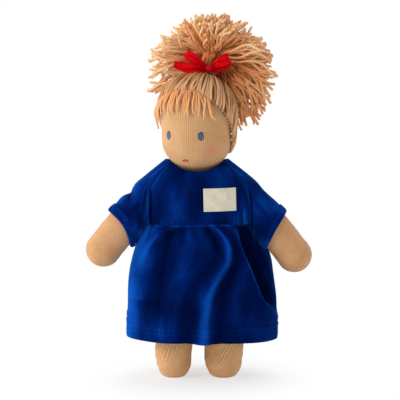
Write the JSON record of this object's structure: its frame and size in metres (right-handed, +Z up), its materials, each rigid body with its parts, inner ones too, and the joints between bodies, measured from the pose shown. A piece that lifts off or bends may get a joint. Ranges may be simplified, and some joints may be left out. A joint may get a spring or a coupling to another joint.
{
  "type": "rag doll",
  "caption": "Stuffed cloth doll with a firm wool head, embroidered face, yarn pony tail tied in a ribbon, and a gathered velour dress, with limbs that swing at their seams.",
  "frame": {"origin": "on the floor, at the middle of the doll's outline seen from above", "axes": "+Z up through the head, -Y the way the dress front and label look, +X the doll's own left"},
  "size_m": [0.2263, 0.1317, 0.3616],
  "materials": {
    "velour": "cotton velour, short soft pile",
    "skin_jersey": "fine rib jersey, matte",
    "wool": "felted sheep's wool",
    "cord": "waxed cotton thread",
    "yarn": "mohair and wool yarn, cut ends",
    "satin_ribbon": "woven satin",
    "eye_thread": "embroidery floss",
    "mouth_thread": "embroidery floss",
    "label_tape": "woven cotton tape",
    "button_plastic": "moulded, satin"
  },
  "bodies": {
    "torso": {"torso": "skin_jersey", "bodice_front": "velour", "bodice_back": "velour", "right_sleeve": "velour", "left_sleeve": "velour", "skirt": "velour", "label": "label_tape", "back_button": "button_plastic", "button_loop": "eye_thread"},
    "neck": {"neck": "wool", "neck_tie": "cord"},
    "head": {"head_cover": "skin_jersey", "head_ball": "wool", "right_eye": "eye_thread", "left_eye": "eye_thread", "mouth": "mouth_thread", "hair_cap": "yarn", "fringe": "yarn", "hair_seam": "cord", "pony_tail_1": "yarn", "pony_tail_2": "yarn", "pony_tail_3": "yarn", "pony_tail_4": "yarn", "ribbon_band": "satin_ribbon", "bow_knot": "satin_ribbon", "bow_loop_right": "satin_ribbon", "bow_loop_left": "satin_ribbon", "bow_tail_right": "satin_ribbon", "bow_tail_left": "satin_ribbon"},
    "right_arm": {"right_arm": "skin_jersey"},
    "left_arm": {"left_arm": "skin_jersey"},
    "right_leg": {"right_leg": "skin_jersey"},
    "left_leg": {"left_leg": "skin_jersey"}
  },
  "joints": [
    {"name": "head_nod", "type": "hinge", "parent": "torso", "child": "neck", "pos_m": [-0.0019, -0.012, 0.198], "axis": [1, 0, 0], "range_deg": [-8, 10]},
    {"name": "head_turn", "type": "hinge", "parent": "neck", "child": "head", "pos_m": [-0.0019, -0.012, 0.209], "axis": [0, 0, 1], "range_deg": [-26, 73]},
    {"name": "right_arm_raise", "type": "hinge", "parent": "torso", "child": "right_arm", "pos_m": [-0.0424, -0.012, 0.195], "axis": [0, 1, 0], "range_deg": [-5, 80], "deforming": ["right_sleeve", "bodice_front", "bodice_back"]},
    {"name": "left_arm_raise", "type": "hinge", "parent": "torso", "child": "left_arm", "pos_m": [0.0396, -0.012, 0.195], "axis": [0, -1, 0], "range_deg": [-4, 81], "deforming": ["left_sleeve", "bodice_front", "bodice_back"]},
    {"name": "right_leg_swing", "type": "hinge", "parent": "torso", "child": "right_leg", "pos_m": [-0.0254, -0.012, 0.094], "axis": [-1, 0, 0], "range_deg": [-20, 90], "deforming": ["skirt"]},
    {"name": "left_leg_swing", "type": "hinge", "parent": "torso", "child": "left_leg", "pos_m": [0.0236, -0.012, 0.094], "axis": [-1, 0, 0], "range_deg": [-20, 90], "deforming": ["skirt"]}
  ]
}
